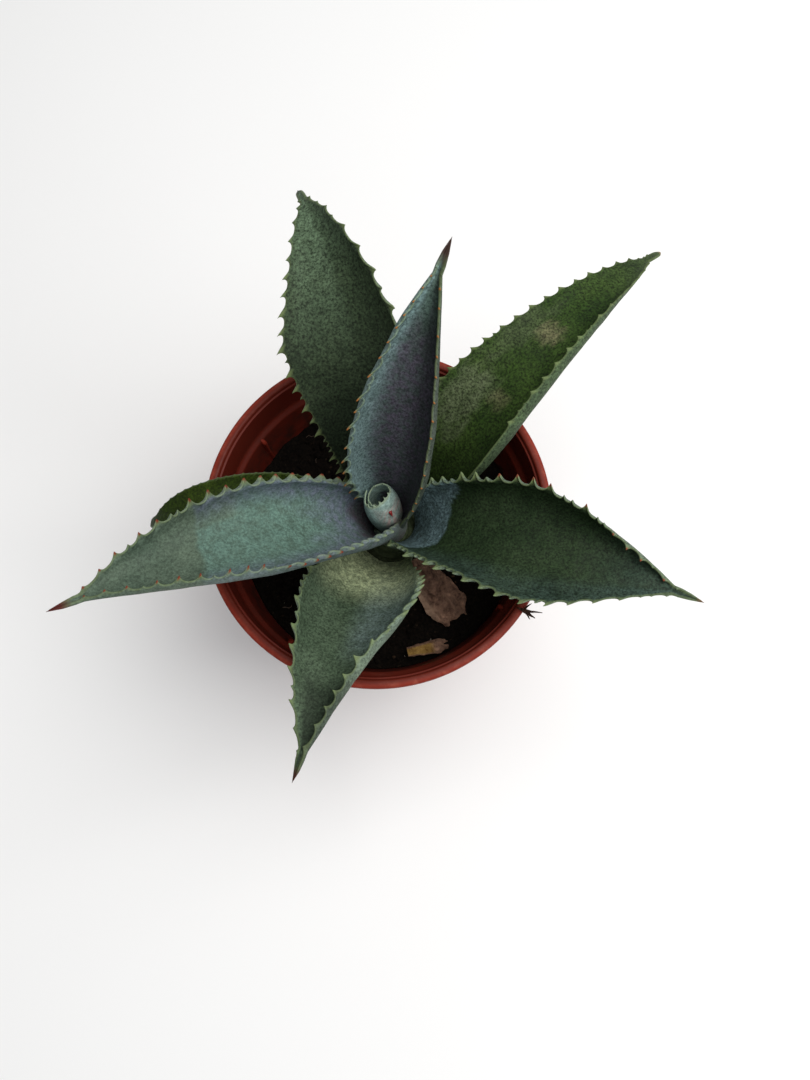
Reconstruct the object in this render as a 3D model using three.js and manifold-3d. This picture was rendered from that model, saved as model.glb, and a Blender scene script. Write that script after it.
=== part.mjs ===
// Potted mangave: a young rosette of seven channelled, toothed leaves around one furled
// centre leaf, on a short stem, in a round plastic nursery pot of dark soil.
// Millimetres and degrees, +Z up, origin at the middle of the underside of the pot.
import * as THREE from 'three';
import { mergeVertices } from 'three/addons/utils/BufferGeometryUtils.js';
import Module from 'manifold-3d';

const wasm = await Module();
wasm.setup();

// ---- Driving dimensions ----------------------------------------------------------
const GAP = 0.4; // clearance kept between neighbouring pieces

const POT_HEIGHT = 120;
const RIM_RADIUS = 70;
const POT_BASE_RADIUS = 49;
const WALL_SLOPE = 0.142; // growth of the wall's radius per mm of height
const WALL = 1.2;
const COLLAR_HEIGHT = 17; // straight band below the rim
const COLLAR_RADIUS = 67.4;
const LUG_COUNT = 4; // ribs inside the wall that stop stacked pots from jamming
const LUG_FIRST_HEADING = 53;
const LUG_LENGTH = 14;
const DRAIN_HOLE_COUNT = 6;
const DRAIN_HOLE_RADIUS = 4;
const DRAIN_RING_RADIUS = 30;

const SOIL_LEVEL = 88.5;
const SOIL_DROP_AT_WALL = 2;

const STEM_X = 5; // the rosette stands a little off the middle of the pot
const STEM_Y = -3;
const STEM_ROOT_DEPTH = 12;

// Each older leaf leaves the stem lower, further out and less steeply than the one inside it.
const FIRST_BASE_RADIUS = 6;
const BASE_RADIUS_STEP = 2;
const FIRST_BASE_HEIGHT = 104.5;
const BASE_HEIGHT_STEP = 2.5;
const FIRST_BASE_RISE = 79;
const BASE_RISE_STEP = 5;
const BASE_THICKNESS = 3;
const TIP_THICKNESS = 1.6;
const MARGIN_THINNING = 0.6; // share of the thickness lost at the margins
const BLADE_END = 0.93; // share of the length where the blade ends and the spine begins
const SPINE_WIDTH = 3.5;
const TOOTH_SPACING = 8;
const TOOTH_HEIGHT = 2;
const TOOTH_LEAN = 0.35; // share of half a tooth's spacing that its point leans to the base

// Leaves from the youngest to the oldest. heading is the compass angle from +X, sweep is how
// far it turns by the tip, rise is the slope at half length and at the tip, width is measured
// along the curved blade, widest and neck place and size the blade's outline, foldLeft and
// foldRight are how far each margin is turned up at half length and at the tip, roll is the
// twist about the midrib at the base and at the tip.
const LEAVES = [
  { name: 'leaf_1_back', heading: 84, sweep: -25, length: 128, rise: [59, 36], width: 48,
    widest: 0.37, neck: 0.61, taper: 1.75, foldLeft: [125, 140], foldRight: [115, 120], roll: [-14, 17] },
  { name: 'leaf_2_left', heading: 194.5, sweep: 10.5, length: 138, rise: [23, 16], width: 56,
    widest: 0.42, neck: 0.8, taper: 1.65, foldLeft: [84, 140], foldRight: [135, 92], roll: [18, 17] },
  { name: 'leaf_3_right', heading: -13, sweep: -14, length: 126, rise: [16, 9], width: 56,
    widest: 0.5, neck: 0.8, taper: 1.25, foldLeft: [127, 90], foldRight: [55, 62], roll: [-18, 4] },
  { name: 'leaf_4_back_left', heading: 99, sweep: 11, length: 154, rise: [33, -46], width: 50,
    widest: 0.54, neck: 0.48, taper: 1.1, foldLeft: [25, 70], foldRight: [87, 62], roll: [-7, -18] },
  { name: 'leaf_5_front', heading: 253, sweep: -3, length: 114, rise: [36, 2], width: 56,
    widest: 0.41, neck: 0.51, taper: 1.22, foldLeft: [99, 142], foldRight: [92, 31], roll: [2, 18] },
  { name: 'leaf_6_back_right', heading: 43.5, sweep: 2.5, length: 176, rise: [8, -44], width: 50.5,
    widest: 0.31, neck: 0.69, taper: 1.22, foldLeft: [19, 42], foldRight: [122, 20], roll: [-13, -7] },
  { name: 'leaf_7_far_left', heading: 179, sweep: -2, length: 107, rise: [17, -75], width: 41,
    widest: 0.33, neck: 0.6, taper: 1.9, foldLeft: [40, 30], foldRight: [55, 35], roll: [0, 0] },
];

// The centre leaf is still rolled into a pointed bud, widest above half its height, that leans
// to the back left. radii are at its foot, half way and at its mouth.
const FURL = { height: 31, radii: [3, 6.4, 4.4], turns: 1.2, overlap: 2.2,
  lean: new THREE.Vector2(-2.8, 5.4), thickness: 1.1, spine: 3 };

// A withered lowest leaf lies from the stem onto the soil, and two dry scraps lie loose.
const DRIED_LEAF = { start: [14.5, -14, 91.6], end: [31.5, -40, 88.9], startWidth: 8, endWidth: 19,
  thickness: 0.7, crease: 1.2, creases: 3 };
const SOIL_FLAKE = { start: [10.5, -53.5, 89.2], end: [27, -50.5, 89], startWidth: 3, endWidth: 6,
  thickness: 0.7, crease: 0.7, creases: 1 };
const RIM_SCRAP = { start: [62, -45.5, 121.2], end: [54.5, -41, 120.9], startWidth: 2, endWidth: 6,
  thickness: 0.8, crease: 0.5, creases: 1 };

// ---- Small helpers ---------------------------------------------------------------
const { degToRad, lerp, smoothstep } = THREE.MathUtils;
const polar = (radius, heading, z) => new THREE.Vector3(
  radius * Math.cos(degToRad(heading)), radius * Math.sin(degToRad(heading)), z);
const range = (count) => [...Array(count).keys()];

// Parabola through the values at the base, half way and at the tip.
const blend3 = (s, base, middle, tip) =>
  base * (1 - s) * (1 - 2 * s) + 4 * middle * s * (1 - s) + tip * s * (2 * s - 1);

function toManifold(geometry) {
  const bare = geometry.clone();
  bare.deleteAttribute('normal');
  bare.deleteAttribute('uv');
  const merged = mergeVertices(bare, 1e-4);
  return new wasm.Manifold(new wasm.Mesh({
    numProp: 3,
    vertProperties: new Float32Array(merged.attributes.position.array),
    triVerts: new Uint32Array(merged.index.array),
  }));
}

function toGeometry(solid) {
  const mesh = solid.getMesh();
  const geometry = new THREE.BufferGeometry();
  geometry.setAttribute('position', new THREE.BufferAttribute(mesh.vertProperties, 3));
  geometry.setIndex(new THREE.BufferAttribute(mesh.triVerts, 1));
  geometry.computeVertexNormals();
  return geometry;
}

// What is left of a solid once the others are cut away: its largest piece.
function cutBy(solid, others) {
  const rest = others.reduce((left, other) => left.subtract(other), solid);
  return rest.decompose().sort((a, b) => b.volume() - a.volume())[0];
}

// Closed solid turned about +Z from a list of [radius, height] points.
function turned(profile, segments) {
  const points = profile.map(([r, z]) => new THREE.Vector2(r, z));
  return new THREE.LatheGeometry(points, segments).rotateX(Math.PI / 2);
}

// A sheet given as rows of points across it becomes a closed solid of the stated thickness.
function thickSheet(rows, thicknessAt) {
  const rowCount = rows.length;
  const columnCount = rows[0].length;
  const pointAt = (i, j) => rows[THREE.MathUtils.clamp(i, 0, rowCount - 1)][
    THREE.MathUtils.clamp(j, 0, columnCount - 1)];
  const positions = [];
  for (const side of [0.5, -0.5]) {
    for (const i of range(rowCount)) {
      for (const j of range(columnCount)) {
        const along = pointAt(i + 1, j).clone().sub(pointAt(i - 1, j));
        const across = pointAt(i, j + 1).clone().sub(pointAt(i, j - 1));
        const normal = across.cross(along).normalize();
        const point = rows[i][j].clone().addScaledVector(normal, side * thicknessAt(i, j));
        positions.push(...point.toArray());
      }
    }
  }
  const lower = rowCount * columnCount;
  const index = [];
  const quad = (a, b, c, d) => index.push(a, b, c, a, c, d);
  const at = (i, j) => i * columnCount + j;
  for (const i of range(rowCount - 1)) {
    for (const j of range(columnCount - 1)) {
      const corners = [at(i, j), at(i, j + 1), at(i + 1, j + 1), at(i + 1, j)];
      quad(...corners);
      quad(...corners.reverse().map((corner) => corner + lower));
    }
    for (const [from, to] of [[at(i + 1, 0), at(i, 0)],
      [at(i, columnCount - 1), at(i + 1, columnCount - 1)]]) {
      quad(to, from, from + lower, to + lower);
    }
  }
  for (const j of range(columnCount - 1)) {
    for (const [from, to] of [[at(0, j), at(0, j + 1)],
      [at(rowCount - 1, j + 1), at(rowCount - 1, j)]]) {
      quad(to, from, from + lower, to + lower);
    }
  }
  const geometry = new THREE.BufferGeometry();
  geometry.setAttribute('position', new THREE.Float32BufferAttribute(positions, 3));
  geometry.setIndex(index);
  geometry.computeVertexNormals();
  return geometry;
}

// ---- Pot, soil and stem ----------------------------------------------------------
function potSolid() {
  const ledge = POT_HEIGHT - COLLAR_HEIGHT;
  const wallAt = (z) => POT_BASE_RADIUS + WALL_SLOPE * z;
  const lip = RIM_RADIUS - COLLAR_RADIUS;
  const outside = [
    [0, 0], [POT_BASE_RADIUS - 1, 0], [wallAt(1), 1], [wallAt(ledge - 2), ledge - 2],
    [COLLAR_RADIUS - 1, ledge - 1.4], [COLLAR_RADIUS, POT_HEIGHT - 4],
    [RIM_RADIUS - 0.6, POT_HEIGHT - 3.6], [RIM_RADIUS, POT_HEIGHT - 3],
    [RIM_RADIUS, POT_HEIGHT - 0.8], [RIM_RADIUS - 0.8, POT_HEIGHT]];
  const inside = [
    [COLLAR_RADIUS - 0.4, POT_HEIGHT], [COLLAR_RADIUS - 1, POT_HEIGHT - 0.6],
    [COLLAR_RADIUS - 1.1, POT_HEIGHT - 1.6], [COLLAR_RADIUS - lip + 0.7, POT_HEIGHT - 1.9],
    [COLLAR_RADIUS - lip, ledge + 2], [wallAt(ledge) - WALL, ledge - 0.4],
    [wallAt(WALL) - WALL, WALL + 0.4], [0, WALL + 0.4]];
  const lugs = range(LUG_COUNT).map((k) => {
    const heading = LUG_FIRST_HEADING + k * 360 / LUG_COUNT;
    const top = ledge - 0.2;
    const lug = new THREE.BoxGeometry(2.4, 1.8, LUG_LENGTH);
    lug.translate(wallAt(top - LUG_LENGTH / 2) - WALL - 0.6, 0, top - LUG_LENGTH / 2);
    return toManifold(lug.rotateZ(degToRad(heading)));
  });
  const holes = range(DRAIN_HOLE_COUNT).map((k) => {
    const hole = new THREE.CylinderGeometry(DRAIN_HOLE_RADIUS, DRAIN_HOLE_RADIUS, 4 * WALL, 20);
    const place = polar(DRAIN_RING_RADIUS, k * 360 / DRAIN_HOLE_COUNT, 0);
    return toManifold(hole.rotateX(Math.PI / 2).translate(...place.toArray()));
  });
  const shell = toManifold(turned([...outside, ...inside], 48));
  const withLugs = lugs.reduce((sum, lug) => sum.add(lug), shell);
  return cutBy(withLugs, holes);
}

const stemProfileRadius = (order) => FIRST_BASE_RADIUS - 1.2 + BASE_RADIUS_STEP * order;

function stemSolid(grow = 0) {
  const last = LEAVES.length - 1;
  const foot = stemProfileRadius(last) + grow;
  const profile = [[0, SOIL_LEVEL - STEM_ROOT_DEPTH - grow], [foot * 0.7, SOIL_LEVEL - STEM_ROOT_DEPTH - grow],
    [foot, SOIL_LEVEL - 4]];
  for (const order of range(LEAVES.length).reverse()) {
    profile.push([stemProfileRadius(order) + grow, FIRST_BASE_HEIGHT - BASE_HEIGHT_STEP * order]);
  }
  profile.push([0, FIRST_BASE_HEIGHT + 0.6 + grow]);
  return toManifold(turned(profile, 32).translate(STEM_X, STEM_Y, 0));
}

function soilSolid() {
  const wallAt = (z) => POT_BASE_RADIUS + WALL_SLOPE * z - WALL - GAP;
  const floor = WALL + 0.4 + GAP;
  const edge = SOIL_LEVEL - SOIL_DROP_AT_WALL;
  const profile = [[0, floor], [wallAt(floor) - 0.5, floor], [wallAt(edge), edge],
    [wallAt(edge) - 6, edge + 0.6], [wallAt(edge) * 0.6, SOIL_LEVEL - 0.4], [0, SOIL_LEVEL]];
  return cutBy(toManifold(turned(profile, 48)), [stemSolid(GAP)]);
}

// ---- Leaves ----------------------------------------------------------------------
// Rows of points across the middle surface of a leaf, from its base to its tip. The midrib is
// a curve whose slope and heading change with length; each half of the blade curls up from it,
// and at the base the curl follows the stem.
const ACROSS = [0.5, 0.8, 1];

function leafRows(leaf, order, grow) {
  const baseRadius = FIRST_BASE_RADIUS + BASE_RADIUS_STEP * order;
  const baseRise = FIRST_BASE_RISE - BASE_RISE_STEP * order;
  const baseFold = THREE.MathUtils.radToDeg(leaf.neck * leaf.width / 2 / baseRadius);
  const teeth = Math.round(leaf.length * BLADE_END / TOOTH_SPACING);
  const stations = 2 * teeth + 4;
  const halfWidthAt = (s) => {
    const past = THREE.MathUtils.clamp((s - leaf.widest) / (BLADE_END - leaf.widest), 0, 1);
    const blade = s < leaf.widest
      ? lerp(leaf.neck, 1, smoothstep(s / leaf.widest, 0, 1)) : 1 - past ** leaf.taper;
    const spine = Math.min(1, (1 - s) / (1 - BLADE_END)) * SPINE_WIDTH + 0.6;
    return Math.max(blade * leaf.width, spine) / 2;
  };
  const midrib = polar(baseRadius, leaf.heading, FIRST_BASE_HEIGHT - BASE_HEIGHT_STEP * order);
  midrib.add(new THREE.Vector3(STEM_X, STEM_Y, 0));
  const directionAt = (s) => {
    const rise = degToRad(blend3(s, baseRise, ...leaf.rise));
    const heading = leaf.heading + leaf.sweep * s;
    return polar(Math.cos(rise), heading, Math.sin(rise));
  };
  const rows = [];
  for (const k of range(stations)) {
    const s = k < 2 * teeth ? k / (2 * teeth) * BLADE_END : lerp(BLADE_END, 1, (k - 2 * teeth) / 3);
    const before = rows.length ? rows.at(-1).s : 0;
    midrib.addScaledVector(directionAt((s + before) / 2), (s - before) * leaf.length);
    const along = directionAt(s);
    const level = polar(1, leaf.heading + leaf.sweep * s + 90, 0);
    const roll = degToRad(lerp(...leaf.roll, s));
    const side = level.clone().applyAxisAngle(along, roll);
    const up = along.clone().cross(side);
    const curl = 1 + 0.6 * smoothstep(s / 0.25, 0, 1);
    const toothed = k % 2 === 1 && k < 2 * teeth ? TOOTH_HEIGHT : 0;
    const half = (sign, fold) => {
      const total = degToRad(blend3(s, baseFold, ...fold));
      const steps = 40;
      const point = midrib.clone();
      const found = [];
      for (const n of range(steps)) {
        const turn = total * ((n + 0.5) / steps) ** curl;
        const reach = halfWidthAt(s) / steps;
        point.addScaledVector(side, sign * Math.cos(turn) * reach);
        point.addScaledVector(up, Math.sin(turn) * reach);
        if (ACROSS.some((t) => Math.round(t * steps) === n + 1)) found.push(point.clone());
      }
      const outward = side.clone().multiplyScalar(sign * Math.cos(total)).addScaledVector(up, Math.sin(total));
      found.at(-1).addScaledVector(outward, toothed + grow);
      found.at(-1).addScaledVector(along, -TOOTH_LEAN * toothed);
      return found;
    };
    const row = [...half(1, leaf.foldLeft).reverse(), midrib.clone(), ...half(-1, leaf.foldRight)];
    row.s = s;
    rows.push(row);
  }
  rows[0].forEach((point) => point.addScaledVector(directionAt(0), -2 * grow));
  return rows;
}

function leafSolid(leaf, order, grow = 0) {
  const rows = leafRows(leaf, order, grow);
  const middle = ACROSS.length;
  const thicknessAt = (i, j) => {
    const t = j === middle ? 0 : ACROSS[Math.abs(j - middle) - 1];
    const full = lerp(BASE_THICKNESS, TIP_THICKNESS, rows[i].s);
    return full * (1 - MARGIN_THINNING * t * t) + 2 * grow;
  };
  return toManifold(thickSheet(rows, thicknessAt));
}

// The furled centre leaf: a sheet wound round its own axis, with its loose edge outside and its
// spine standing up from the rim.
const furlFoot = new THREE.Vector3(STEM_X, STEM_Y, FIRST_BASE_HEIGHT + 1.2);
const furlRise = 10;

function furledSolid() {
  const rows = range(furlRise + 1).map((i) => {
    const h = i / furlRise;
    return range(30).map((j) => {
      const u = j / 29;
      const radius = blend3(h, ...FURL.radii) + FURL.overlap * (u - 0.5) * (0.4 + 0.6 * h);
      const point = polar(radius, -60 - 360 * FURL.turns * u, FURL.height * h);
      point.z += FURL.spine * h * Math.exp(-(((u - 0.25) / 0.12) ** 2));
      return point.add(furlFoot).add(new THREE.Vector3(FURL.lean.x * h, FURL.lean.y * h, 0));
    });
  });
  return toManifold(thickSheet(rows, () => FURL.thickness));
}

// The space that the furled leaf takes up, as one plain solid with some clearance.
function furledSpace() {
  const spare = FURL.overlap / 2 + FURL.thickness / 2 + 2 * GAP;
  const top = FURL.height + FURL.spine + GAP;
  const profile = [[0, -GAP], ...range(furlRise + 1).map((i) => {
    const h = i / furlRise;
    return [blend3(h, ...FURL.radii) + spare * (0.5 + 0.5 * h), lerp(-GAP, top, h)];
  }), [0, top]];
  const solid = turned(profile, 32);
  solid.applyMatrix4(new THREE.Matrix4().makeShear(
    0, 0, 0, 0, FURL.lean.x / FURL.height, FURL.lean.y / FURL.height));
  return toManifold(solid.translate(...furlFoot.toArray()));
}

// ---- Dry scraps ------------------------------------------------------------------
// A creased papery strip between two points, widening from its start to its end.
function papery(strip) {
  const start = new THREE.Vector3(...strip.start);
  const run = new THREE.Vector3(...strip.end).sub(start);
  const side = new THREE.Vector3(-run.y, run.x, 0).normalize();
  const rows = range(9).map((i) => range(7).map((j) => {
    const s = i / 8;
    const t = j / 6 - 0.5;
    const lift = strip.crease * (1 + Math.cos(2 * Math.PI * strip.creases * (t + 0.2 * s))) / 2;
    const arch = strip.crease * Math.sin(Math.PI * s);
    const point = start.clone().addScaledVector(run, s);
    point.addScaledVector(side, t * lerp(strip.startWidth, strip.endWidth, s));
    point.z += lift + arch;
    return point;
  }));
  return toManifold(thickSheet(rows, () => strip.thickness));
}

// ---- Assembly --------------------------------------------------------------------
const plastic = { color: 0x8c4436, roughness: 0.55, metalness: 0 };
const earth = { color: 0x1d1713, roughness: 0.95, metalness: 0 };
const bark = { color: 0x6b6a4a, roughness: 0.8, metalness: 0 };
const glaucous = { color: 0x5d7a74, roughness: 0.6, metalness: 0 };
const blade = { color: 0x3f5c42, roughness: 0.55, metalness: 0 };
const withered = { color: 0x7a4a30, roughness: 0.85, metalness: 0 };

const mangave = new THREE.Group();
function place(name, solid, finish) {
  const mesh = new THREE.Mesh(toGeometry(solid), new THREE.MeshStandardMaterial(finish));
  mesh.name = name;
  mangave.add(mesh);
}

place('pot', potSolid(), plastic);
place('potting_soil', soilSolid(), earth);

place('leaf_furled', furledSolid(), glaucous);
const taken = [furledSpace()];
LEAVES.forEach((leaf, order) => {
  place(leaf.name, cutBy(leafSolid(leaf, order), taken), order < 2 ? glaucous : blade);
  taken.push(leafSolid(leaf, order, GAP));
});
place('stem', cutBy(stemSolid(), taken), bark);
place('dried_leaf', cutBy(papery(DRIED_LEAF), [...taken, stemSolid(GAP)]), withered);
place('dry_flake_on_soil', papery(SOIL_FLAKE), withered);
place('dry_scrap_on_rim', papery(RIM_SCRAP), withered);

export default mangave;
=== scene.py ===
import bmesh
import bpy
import numpy as np
from mathutils import Matrix, Vector


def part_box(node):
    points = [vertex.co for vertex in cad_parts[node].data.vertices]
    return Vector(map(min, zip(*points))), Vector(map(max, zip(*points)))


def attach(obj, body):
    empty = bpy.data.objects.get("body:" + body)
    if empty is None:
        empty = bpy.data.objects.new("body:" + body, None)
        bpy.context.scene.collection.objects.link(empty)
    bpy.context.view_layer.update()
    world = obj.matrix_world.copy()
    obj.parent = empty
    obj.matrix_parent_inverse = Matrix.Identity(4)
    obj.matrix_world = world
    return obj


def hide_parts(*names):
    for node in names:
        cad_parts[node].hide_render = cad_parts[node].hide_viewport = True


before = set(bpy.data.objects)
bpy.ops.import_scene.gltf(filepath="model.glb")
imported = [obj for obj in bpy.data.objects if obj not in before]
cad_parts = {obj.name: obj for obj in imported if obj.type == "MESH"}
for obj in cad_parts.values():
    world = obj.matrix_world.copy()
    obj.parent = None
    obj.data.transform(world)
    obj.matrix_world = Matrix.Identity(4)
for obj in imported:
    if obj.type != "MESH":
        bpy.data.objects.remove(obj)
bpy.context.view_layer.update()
MM = 0.001

# ---- Studio --------------------------------------------------------------------------------
# A plain pale floor that the pot stands on, soft light from a large overhead panel and a pale
# surround, and a camera that looks steeply down on the rosette from its front.
pot_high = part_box("pot")[1]
rim_height = pot_high[2]
CAMERA_OVER_RIM = (0.015, -0.087, 0.325)
CAMERA_TILT = ((13.0, "X"), (0.7, "Y"), (-1.5, "Z"))
FLOOR_REACH = 3.0
SURROUND_STRENGTH = 0.42

camera_data = bpy.data.cameras.new("camera")
camera_data.lens = 28
camera_data.sensor_width = 36
camera = bpy.data.objects.new("camera", camera_data)
bpy.context.scene.collection.objects.link(camera)
side_step, back_step, above = CAMERA_OVER_RIM
camera.matrix_world = Matrix.Translation((side_step, back_step, rim_height + above))
for angle, axis in CAMERA_TILT:
    camera.matrix_world = camera.matrix_world @ Matrix.Rotation(np.radians(angle), 4, axis)
bpy.context.scene.camera = camera
bpy.context.scene.view_settings.view_transform = "Standard"

floor_mesh = bpy.data.meshes.new("floor")
floor_corners = [(sx * FLOOR_REACH, sy * FLOOR_REACH, 0) for sx, sy in ((-1, -1), (1, -1), (1, 1), (-1, 1))]
floor_mesh.from_pydata(floor_corners, [], [(0, 1, 2, 3)])
floor = bpy.data.objects.new("floor", floor_mesh)
bpy.context.scene.collection.objects.link(floor)
floor_paint = bpy.data.materials.new("floor_paint")
floor_paint.use_nodes = True
floor_shader = floor_paint.node_tree.nodes["Principled BSDF"]
floor_shader.inputs["Base Color"].default_value = (0.86, 0.86, 0.86, 1)
floor_shader.inputs["Roughness"].default_value = 0.95
floor_shader.inputs["Specular IOR Level"].default_value = 0.1
floor_mesh.materials.append(floor_paint)


def panel_light(name, place, size, watts, tint):
    """A square area light at place, in metres, that faces the rosette."""
    data = bpy.data.lights.new(name, "AREA")
    data.size = size
    data.energy = watts
    data.color = tint
    light = bpy.data.objects.new(name, data)
    bpy.context.scene.collection.objects.link(light)
    away = Vector(place) - Vector((0, 0, rim_height))
    light.matrix_world = Matrix.Translation(place) @ away.to_track_quat("Z", "Y").to_matrix().to_4x4()


panel_light("overhead_panel", (0.45, 0.1, 1.15), 1.0, 14, (1.0, 0.985, 0.96))
panel_light("side_fill", (0.9, -0.5, 0.7), 0.8, 3, (0.95, 0.98, 1.0))
studio = bpy.data.worlds.new("studio")
studio.use_nodes = True
studio.node_tree.nodes["Background"].inputs["Color"].default_value = (0.97, 0.985, 1, 1)
studio.node_tree.nodes["Background"].inputs["Strength"].default_value = SURROUND_STRENGTH
bpy.context.scene.world = studio

# ---- Nursery pot ---------------------------------------------------------------------------
# A round pot moulded in terracotta-coloured polypropylene: a rounded lip, a shallow groove, a
# collar, four stacking ribs inside, and a tapering wall on a flat base with drain holes.
# Handling has scuffed the lip pale, and those pale scuffs also paint the lip's highlight; splashed soil has
# dirtied the wall inside, and the whole inner wall carries painted shade.
POT_TURN_STEPS = 256
WALL_SLOPE = 0.142
POT_FOOT_RADIUS = 49.0
WALL = 1.2
COLLAR_RADIUS = 67.4
COLLAR_HEIGHT = 17.0
RIB_HEADINGS = 53 + 90 * np.arange(4)
RIB_LENGTH = 14.0
RIB_WIDTH = 1.8
RIB_DEPTH = 2.4
DRAIN_HOLES = 6
DRAIN_HOLE_RADIUS = 4.0
DRAIN_RING_RADIUS = 30.0


def smooth01(x):
    """Smooth step: 0 below 0, 1 above 1 and 3x^2 - 2x^3 between."""
    x = np.clip(x, 0, 1)
    return x * x * (3 - 2 * x)


def grid_faces(rows, columns, wrap_columns=False, start=0):
    """Quads of a rows by columns grid of points, joined round where its columns wrap."""
    r, c = np.meshgrid(np.arange(rows - 1), np.arange(columns - (not wrap_columns)), indexing="ij")
    c1 = (c + 1) % columns
    quads = [r * columns + c, r * columns + c1, (r + 1) * columns + c1, (r + 1) * columns + c]
    return np.stack(quads, -1).reshape(-1, 4) + start


def joined(shapes):
    """Several (points, faces) shapes as one list of points and one of faces."""
    points = [np.asarray(part).reshape(-1, 3) for part, _ in shapes]
    starts = np.concatenate([[0], np.cumsum([len(part) for part in points])])
    return np.concatenate(points), np.concatenate([faces + s for (_, faces), s in zip(shapes, starts)])


def mesh_of(name, points_mm, faces, attributes):
    """A smooth mesh from points in millimetres, its doubles merged and its faces outward."""
    mesh = bpy.data.meshes.new(name)
    mesh.from_pydata((np.asarray(points_mm).reshape(-1, 3) * MM).tolist(), [], np.asarray(faces).tolist())
    for key, values in attributes.items():
        layer = mesh.attributes.new(key, "FLOAT", "POINT")
        layer.data.foreach_set("value", np.asarray(values, dtype=np.float32).ravel())
    tidy = bmesh.new()
    tidy.from_mesh(mesh)
    bmesh.ops.remove_doubles(tidy, verts=tidy.verts, dist=2e-6)
    bmesh.ops.recalc_face_normals(tidy, faces=tidy.faces)
    tidy.to_mesh(mesh)
    tidy.free()
    mesh.shade_smooth()
    return mesh


def make_piece(name, points_mm, faces, slot, material, nodes=(), attributes=None):
    """A piece of the plant or its pot, riding with them, that stands for those CAD nodes."""
    mesh = mesh_of(name, points_mm, faces, attributes or {})
    mesh.materials.append(material)
    piece = bpy.data.objects.new(name, mesh)
    bpy.context.scene.collection.objects.link(piece)
    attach(piece, "root")
    if nodes:
        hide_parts(*nodes)
    return piece


def rounded_line(corners, steps=4):
    """A [radius, height, rounding] outline with each corner cut by a parabola of that reach."""
    corners = np.array(corners, dtype=float)
    before, here, after = corners[:-2, :2], corners[1:-1, :2], corners[2:, :2]

    def towards(other):
        gap = other - here
        length = np.linalg.norm(gap, axis=1, keepdims=True)
        return here + gap * np.minimum(corners[1:-1, 2:], 0.45 * length) / length

    enter, leave = towards(before), towards(after)
    t = np.linspace(0, 1, steps + 1)[None, :, None]
    bends = enter[:, None] * (1 - t) ** 2 + here[:, None] * 2 * t * (1 - t) + leave[:, None] * t ** 2
    return np.concatenate([corners[:1, :2], bends.reshape(-1, 2), corners[-1:, :2]])


def turned(outline, steps):
    """The outline swept once round +Z: radius times cosine and sine of the turn, and height."""
    turn = np.arange(steps) * 2 * np.pi / steps
    radius, height = outline[:, :1], outline[:, 1:]
    points = np.stack([radius * np.cos(turn), radius * np.sin(turn), height + 0 * turn], -1)
    return points, grid_faces(len(outline), steps, wrap_columns=True)


def apply_boolean(piece, shapes, operation):
    """The shapes, in millimetres, joined to the piece (UNION) or cut out of it (DIFFERENCE)."""
    tool = bpy.data.objects.new("tool", mesh_of("tool", *joined(shapes), {}))
    bpy.context.scene.collection.objects.link(tool)
    step = piece.modifiers.new("tool", "BOOLEAN")
    step.object = tool
    step.operation = operation
    step.solver = "EXACT"
    view = bpy.context.evaluated_depsgraph_get()
    finished = bpy.data.meshes.new_from_object(piece.evaluated_get(view))
    piece.modifiers.clear()
    piece.data = finished
    bpy.data.objects.remove(tool)


def new_material(name):
    """An empty node material, its node tree and its Principled shader."""
    material = bpy.data.materials.new(name)
    material.use_nodes = True
    return material, material.node_tree, material.node_tree.nodes["Principled BSDF"]


def add_node(tree, kind, **settings):
    """A node of that kind; settings that name an input set it or link to it, others are properties."""
    node = tree.nodes.new(kind)
    for key, value in settings.items():
        if key not in node.inputs:
            setattr(node, key, value)
        elif isinstance(value, bpy.types.NodeSocket):
            tree.links.new(value, node.inputs[key])
        else:
            node.inputs[key].default_value = value
    return node


def new_group(name, inputs, outputs):
    """An empty shader node group with those inputs and outputs: its tree, its given and made sockets."""
    kinds = {1: "NodeSocketFloat", 3: "NodeSocketVector", 4: "NodeSocketColor"}
    group = bpy.data.node_groups.new(name, "ShaderNodeTree")
    for key, value in inputs.items():
        kind = kinds[np.size(value)]
        group.interface.new_socket(key, in_out="INPUT", socket_type=kind).default_value = value
    for key, size in outputs.items():
        group.interface.new_socket(key, in_out="OUTPUT", socket_type=kinds[size])
    return group, group.nodes.new("NodeGroupInput").outputs, group.nodes.new("NodeGroupOutput").inputs


def use_group(tree, group, **values):
    """The outputs of the group placed in the tree with those values or linked sockets."""
    node = tree.nodes.new("ShaderNodeGroup")
    node.node_tree = group
    for key, value in values.items():
        if isinstance(value, bpy.types.NodeSocket):
            tree.links.new(value, node.inputs[key])
        else:
            node.inputs[key].default_value = value
    return node.outputs


mottling, given, made = new_group(
    "mottling", dict(Scale=100.0, Detail=4.0, Roughness=0.6, Stretch=(1.0, 1.0, 1.0), Low=0.0, High=1.0),
    dict(Noise=1, Mask=1))
where = add_node(mottling, "ShaderNodeTexCoord").outputs["Object"]
spread = add_node(mottling, "ShaderNodeMapping", Vector=where, Scale=given["Stretch"])
cloud = add_node(mottling, "ShaderNodeTexNoise", Vector=spread.outputs[0], Scale=given["Scale"],
                 Detail=given["Detail"], Roughness=given["Roughness"])
cut = add_node(mottling, "ShaderNodeMapRange", **{
    "Value": cloud.outputs["Fac"], "From Min": given["Low"], "From Max": given["High"]})
mottling.links.new(cloud.outputs["Fac"], made["Noise"])
mottling.links.new(cut.outputs["Result"], made["Mask"])


def mottle(tree, scale, low, high, detail=4.0, roughness=0.6, stretch=(1, 1, 1)):
    """A mask of random clouds, scale of them to the metre: 0 where their noise is low, 1 where high."""
    return use_group(tree, mottling, Scale=scale, Low=low, High=high, Detail=detail,
                     Roughness=roughness, Stretch=stretch)["Mask"]


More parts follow.
